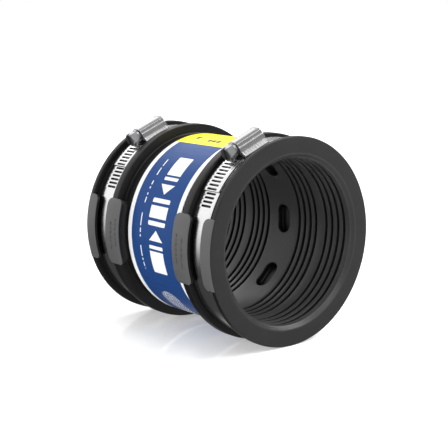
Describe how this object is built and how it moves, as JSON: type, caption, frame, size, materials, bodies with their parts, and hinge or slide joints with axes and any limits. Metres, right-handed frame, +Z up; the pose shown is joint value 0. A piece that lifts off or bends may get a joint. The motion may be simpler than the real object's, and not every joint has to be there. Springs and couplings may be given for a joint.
{
  "type": "pipe coupling",
  "caption": "Flexible rubber sleeve coupling that joins two drain pipes end to end, clamped by a steel worm-drive band at each end.",
  "frame": {"origin": "centre of the bore, half way along the sleeve", "axes": "+X along the bore towards the front end, +Z up, and the screw heads on the -Y side"},
  "size_m": [0.118, 0.1204, 0.1249],
  "materials": {
    "rubber": "matt moulded rubber",
    "label_film": "satin printed film",
    "strip_steel": "bright rolled strip",
    "stamped_steel": "stamped and tumbled",
    "screw_steel": "cold-headed and plated"
  },
  "bodies": {
    "sleeve_body": {"sleeve": "rubber", "label": "label_film"},
    "front_clamp": {"front_band": "strip_steel", "front_saddle": "stamped_steel", "front_housing": "stamped_steel"},
    "front_tail": {"front_band_tail": "strip_steel"},
    "front_screw": {"front_worm_screw": "screw_steel"},
    "rear_clamp": {"rear_band": "strip_steel", "rear_saddle": "stamped_steel", "rear_housing": "stamped_steel"},
    "rear_tail": {"rear_band_tail": "strip_steel"},
    "rear_screw": {"rear_worm_screw": "screw_steel"}
  },
  "joints": [
    {"name": "front_clamp_swivel", "type": "hinge", "parent": "sleeve_body", "child": "front_clamp", "pos_m": [0.0446, 0, 0], "axis": [1, 0, 0], "range_deg": [-75, 35]},
    {"name": "front_screw_turn", "type": "hinge", "parent": "front_clamp", "child": "front_screw", "pos_m": [0.0446, -0.02351, 0.05704], "axis": [0, 0.9245, 0.3811], "range_deg": [-2881, 3601]},
    {"name": "front_tail_slide", "type": "hinge", "parent": "front_clamp", "child": "front_tail", "pos_m": [0.0446, 0, 0], "axis": [1, 0, 0], "range_deg": [-19.68, 24.6]},
    {"name": "rear_clamp_swivel", "type": "hinge", "parent": "sleeve_body", "child": "rear_clamp", "pos_m": [-0.0446, 0, 0], "axis": [1, 0, 0], "range_deg": [-75, 35]},
    {"name": "rear_screw_turn", "type": "hinge", "parent": "rear_clamp", "child": "rear_screw", "pos_m": [-0.0446, -0.02351, 0.05704], "axis": [0, 0.9245, 0.3811], "range_deg": [-2161, 4321]},
    {"name": "rear_tail_slide", "type": "hinge", "parent": "rear_clamp", "child": "rear_tail", "pos_m": [-0.0446, 0, 0], "axis": [1, 0, 0], "range_deg": [-14.76, 29.52]}
  ],
  "couplings": [
    {"joint": "front_screw_turn", "follows": "front_tail_slide", "ratio": 146.34},
    {"joint": "rear_screw_turn", "follows": "rear_tail_slide", "ratio": 146.34}
  ]
}
